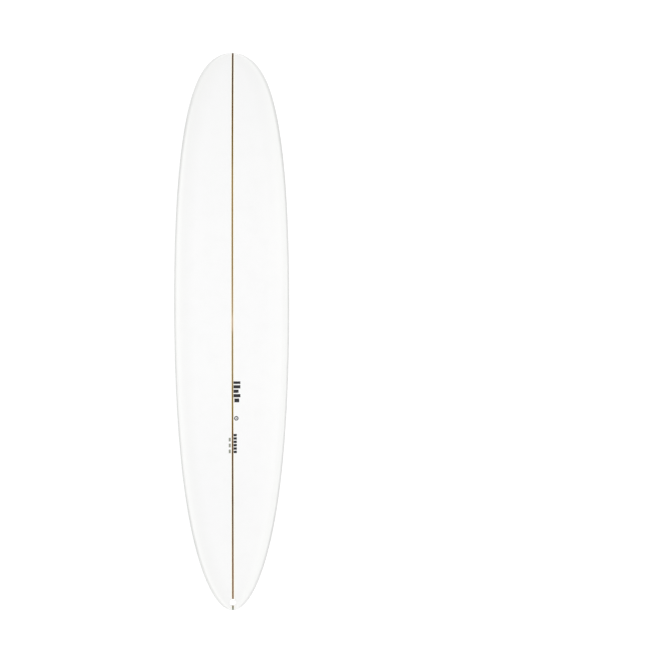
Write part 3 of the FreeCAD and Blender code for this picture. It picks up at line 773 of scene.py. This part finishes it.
def deck_marks(verts, faces, fmats):
    def bar(x0, x1, q0, q1, mat=0):
        ny = max(int((q1 - q0) / 12), 1)
        outline_patch((x1 - x0, q1 - q0), x0, q0 - LENGTH / 2, 1, ny, 1, 0.06, 0.3, verts, faces, fmats, mat)
    # a stack of bars, a ring, a row of dashes on the right of the stringer, three faint dashes on its left
    for x1, q0, q1 in ((39, 1118, 1131), (39, 1096, 1112), (30, 1074, 1090), (39, 1052, 1068)):
        bar(5, x1, q0, q1)
    bar(9, 33, 1027, 1046)
    ring_patch(18.5, 948 - LENGTH / 2, 6.2, 11.0, 1, 0.06, 0.3, verts, faces, fmats, 0)
    ring_patch(18.5, 948 - LENGTH / 2, 0.6, 2.6, 1, 0.06, 0.3, verts, faces, fmats, 0)
    for k in range(6):
        bar(5, 21, 776 + 16.6 * k, 788 + 16.6 * k)
    for k in range(3):
        bar(-19, -9, 776 + 29 * k, 794 + 29 * k, 1)


marks = print_object("deck_print_marks", [MAT_INK_DECK, MAT_INK_FAINT], deck_marks)
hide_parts("deck_print")
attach(marks, "board")


def label_sheet(verts, faces, fmats):
    q0, q1, hw = 691.5 - 60.5, 691.5 + 60.5, 62.5
    outline_patch((2 * hw, q1 - q0), -hw, q0 - LENGTH / 2, 16, 16, -1, 0.06, 0.3, verts, faces, fmats, 0)

    def bar(x0, x1, y0, y1):
        """x from the label's left as seen from below with the nose up, y down from its top, mm."""
        xa, xb = hw - x1, hw - x0
        nx = max(int((xb - xa) / 12), 1)
        outline_patch((xb - xa, y1 - y0), xa, q1 - y1 - LENGTH / 2, nx, 1, -1, 0.12, 0.06, verts, faces, fmats, 1)
    # plain bars only, set out as a block of rules
    bar(7, 46, 8, 17)
    bar(7, 52, 23, 26.5)
    for k, e in enumerate((40, 34, 44)):
        bar(7, e, 32 + 8 * k, 35 + 8 * k)
    bar(74, 117, 66, 72)
    for k in range(3):
        bar(7, 117, 81 + 7.5 * k, 84 + 7.5 * k)
    bar(7, 44, 109, 112)
    bar(82, 117, 109, 112)
    ring_patch(hw - 101, q1 - 45 - LENGTH / 2, 3.4, 6.0, -1, 0.12, 0.06, verts, faces, fmats, 1)


lab = print_object("bottom_label_sheet", [MAT_INK, MAT_INK_LIGHT], label_sheet)
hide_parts("bottom_label")
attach(lab, "board")

# ---------------------------------------------------------------------------
# Pieces carried over from the CAD: better materials and softened edges
# ---------------------------------------------------------------------------
def dress(node, mat, bevel=0.0, segments=2):
    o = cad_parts[node]
    for s in o.material_slots:
        s.link = "OBJECT"
        s.material = mat
    if bevel:
        b = o.modifiers.new("soft_edges", "BEVEL")
        b.width = bevel / 1000
        b.segments = segments
        b.limit_method = "ANGLE"
        b.angle_limit = math.radians(40)


dress("foam_blank_left", MAT_FOAM)
dress("foam_blank_right", MAT_FOAM)
dress("centre_fin_box", MAT_BOX, 0.35)
dress("side_fin_box_left", MAT_BOX, 0.35)
dress("side_fin_box_right", MAT_BOX, 0.35)
dress("side_fin_screw_left", MAT_SCREW, 0.15)
dress("side_fin_screw_right", MAT_SCREW, 0.15)
dress("fin_plate", MAT_PLATE, 0.2)
dress("fin_screw", MAT_SCREW, 0.15)
dress("leash_cup", MAT_PLUG, 0.2, 2)
dress("leash_bar", MAT_BAR, 0.1)

# ---------------------------------------------------------------------------
# Studio: pale floor, soft overhead light, camera over the board
# ---------------------------------------------------------------------------
DOME, LEAN = 1.376, -0.07
# brightness of the light tent against the sine of the elevation: dim at the horizon and round the camera
TENT = [(0.0, 0.32), (0.42, 1.0), (0.875, 1.0), (0.975, 0.05)]
OVERHEAD = 9.0
floor_mat = Mat("floor")
fl = floor_mat.noise(2.0, 2.0)
floor_mat.set(Base_Color=floor_mat.ramp(fl, [(0.3, (0.365, 0.365, 0.365)), (0.7, (0.38, 0.38, 0.38))]),
              Roughness=0.9, Specular_IOR_Level=0.1, Emission_Color=(1.0, 1.0, 1.0), Emission_Strength=0.68)
bm = bmesh.new()
bmesh.ops.create_grid(bm, x_segments=8, y_segments=8, size=60)
fme = bpy.data.meshes.new("studio_floor")
bm.to_mesh(fme)
bm.free()
fme.materials.append(floor_mat.m)
floor = bpy.data.objects.new("studio_floor", fme)
floor.location = (0, 0, min(CAD_BOX[0][2], 0.0) - 0.0002)
bpy.context.scene.collection.objects.link(floor)

world = bpy.data.worlds.new("studio")
bpy.context.scene.world = world
world.use_nodes = True
wt = world.node_tree
dome = wt.nodes["Background"]
dome.inputs["Strength"].default_value = DOME
wtc = wt.nodes.new("ShaderNodeTexCoord")
wsp = wt.nodes.new("ShaderNodeSeparateXYZ")
wt.links.new(wtc.outputs["Generated"], wsp.inputs[0])
# a big soft light tent: bright overhead, leaning a little to the left, dim at the horizon
tilt = wt.nodes.new("ShaderNodeMath")
tilt.operation = "MULTIPLY"
tilt.inputs[1].default_value = LEAN
wt.links.new(wsp.outputs["X"], tilt.inputs[0])
add = wt.nodes.new("ShaderNodeMath")
add.operation = "ADD"
wt.links.new(wsp.outputs["Z"], add.inputs[0])
wt.links.new(tilt.outputs[0], add.inputs[1])
ramp = wt.nodes.new("ShaderNodeValToRGB")
ramp.color_ramp.interpolation = "EASE"
stops = ramp.color_ramp.elements
stops[0].position, stops[0].color = TENT[0][0], (TENT[0][1],) * 3 + (1,)
stops[1].position, stops[1].color = TENT[-1][0], (TENT[-1][1],) * 3 + (1,)
for p, v in TENT[1:-1]:
    stops.new(p).color = (v, v, v, 1)
wt.links.new(add.outputs[0], ramp.inputs["Fac"])
wt.links.new(ramp.outputs["Color"], dome.inputs["Color"])
back = wt.nodes.new("ShaderNodeBackground")
back.inputs["Color"].default_value = (1, 1, 1, 1)
back.inputs["Strength"].default_value = 1.05
lp = wt.nodes.new("ShaderNodeLightPath")
mx = wt.nodes.new("ShaderNodeMixShader")
wt.links.new(lp.outputs["Is Camera Ray"], mx.inputs[0])
wt.links.new(dome.outputs[0], mx.inputs[1])
wt.links.new(back.outputs[0], mx.inputs[2])
wt.links.new(mx.outputs[0], wt.nodes["World Output"].inputs[0])


def area(name, loc, target, sx, sy, power):
    d = bpy.data.lights.new(name, "AREA")
    d.shape, d.size, d.size_y, d.energy = "RECTANGLE", sx, sy, power
    o = bpy.data.objects.new(name, d)
    o.location = loc
    o.rotation_euler = (Vector(target) - Vector(loc)).to_track_quat("-Z", "Y").to_euler()
    bpy.context.scene.collection.objects.link(o)
    return o


area("side_key", (-5.2, 1.5, 5.0), (0, 0, 0), 4.0, 5.0, OVERHEAD)

sc = bpy.context.scene
sc.view_settings.view_transform = "Standard"
sc.view_settings.look = "None"
sc.view_settings.exposure = 0.0
sc.view_settings.gamma = 1.0

cam_d = bpy.data.cameras.new("camera")
cam = bpy.data.objects.new("camera", cam_d)
sc.collection.objects.link(cam)
sc.camera = cam
CAM_H, CAM_X, CAM_Y = 6.0, -0.30, 0.0130
FOCAL_PX = 1195.4            # pixels per unit of tangent in a 660-pixel frame
BOARD_PX = -98.0            # where the board's middle sits, from the frame's centre
cam_d.sensor_width = 36.0
cam_d.lens = 36.0 * FOCAL_PX / 660
cam_d.dof.use_dof = False
cam.location = (CAM_X, CAM_Y, CAM_H)
turn = math.atan2(0.0 - CAM_X, CAM_H - 0.03) - math.atan2(BOARD_PX, FOCAL_PX)
cam.matrix_world = Matrix.Translation(cam.location) @ Matrix.Rotation(-turn, 4, "Y") @ Matrix.Rotation(-0.00126, 4, "Z")
cam_d.clip_end = 200
